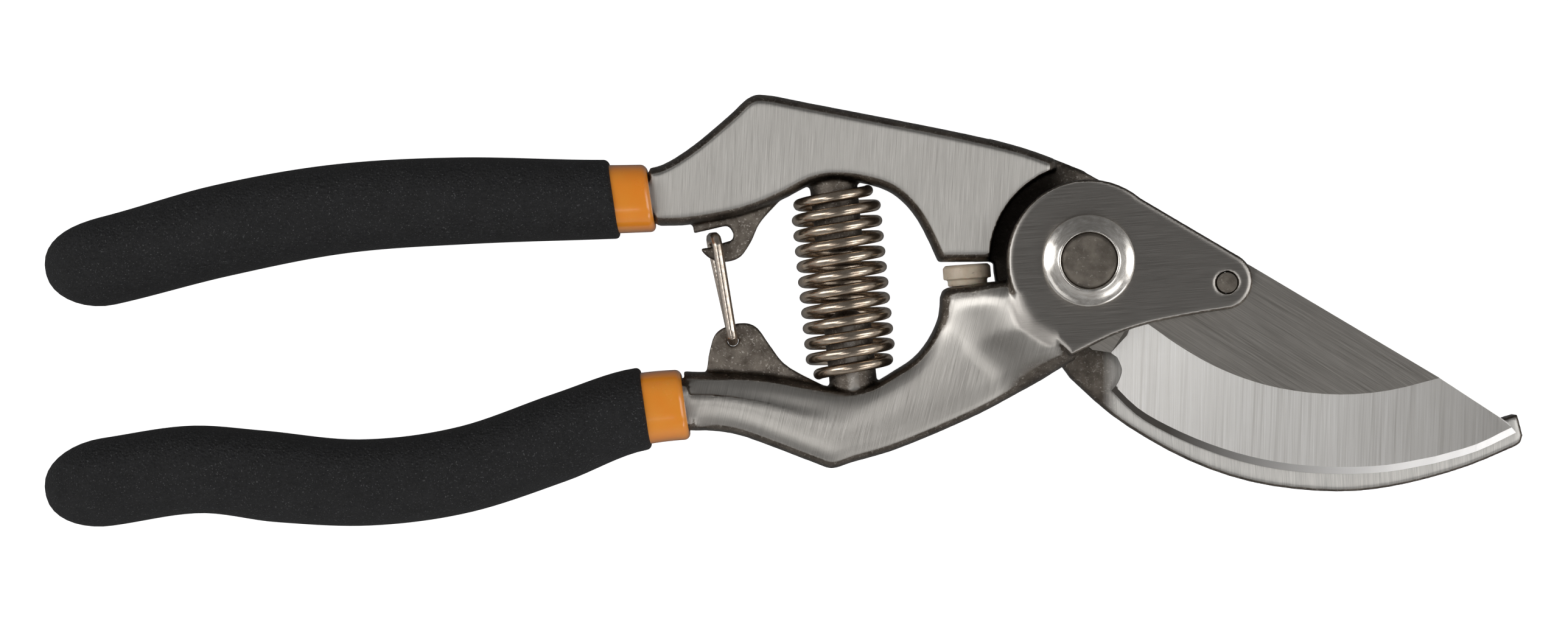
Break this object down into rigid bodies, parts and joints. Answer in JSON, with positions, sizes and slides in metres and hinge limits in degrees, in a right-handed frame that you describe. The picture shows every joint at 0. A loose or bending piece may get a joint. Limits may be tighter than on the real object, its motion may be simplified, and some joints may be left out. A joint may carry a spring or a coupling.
{
  "type": "bypass hand pruner",
  "caption": "Forged bypass hand pruner, closed: bolted slant-ground blade over a curved hook, dipped grips with bright collars, coil spring and wire catch.",
  "frame": {"origin": "on the pivot axis, at the back face of the bolt head, the level that the closed tool rests on", "axes": "+X towards the blade tip, +Y towards the hook-side handle, +Z towards the side with the pivot nut"},
  "size_m": [0.2159, 0.0631, 0.0192],
  "materials": {
    "forged_steel": "hot-forged scale with vertically brushed faces",
    "ground_steel": "coarse ground, with a bright bevel",
    "dark_steel": "rough, heat darkened",
    "turned_steel": "turned and bright",
    "plated_wire": "bright drawn wire",
    "cream_rubber": "satin",
    "orange_vinyl": "glossy dip",
    "black_vinyl": "matte foam-textured dip"
  },
  "bodies": {
    "blade_side": {"blade_side_handle": "forged_steel", "cutting_blade": "ground_steel", "pivot_bolt": "dark_steel", "pivot_nut": "turned_steel", "blade_pin": "dark_steel", "closing_bumper": "cream_rubber", "return_spring": "plated_wire", "blade_side_sleeve": "orange_vinyl", "blade_side_grip": "black_vinyl"},
    "hook_side": {"hook_side_handle": "forged_steel", "hook_side_sleeve": "orange_vinyl", "hook_side_grip": "black_vinyl"},
    "catch": {"wire_catch": "plated_wire"}
  },
  "joints": [
    {"name": "pivot", "type": "hinge", "parent": "blade_side", "child": "hook_side", "pos_m": [0, 0, 0], "axis": [0, 0, -1], "range_deg": [0, 30], "deforming": ["return_spring"]},
    {"name": "catch_swing", "type": "hinge", "parent": "blade_side", "child": "catch", "pos_m": [-0.0514, -0.0116, 0.008], "axis": [0, 0, 1], "range_deg": [0, 85]}
  ]
}
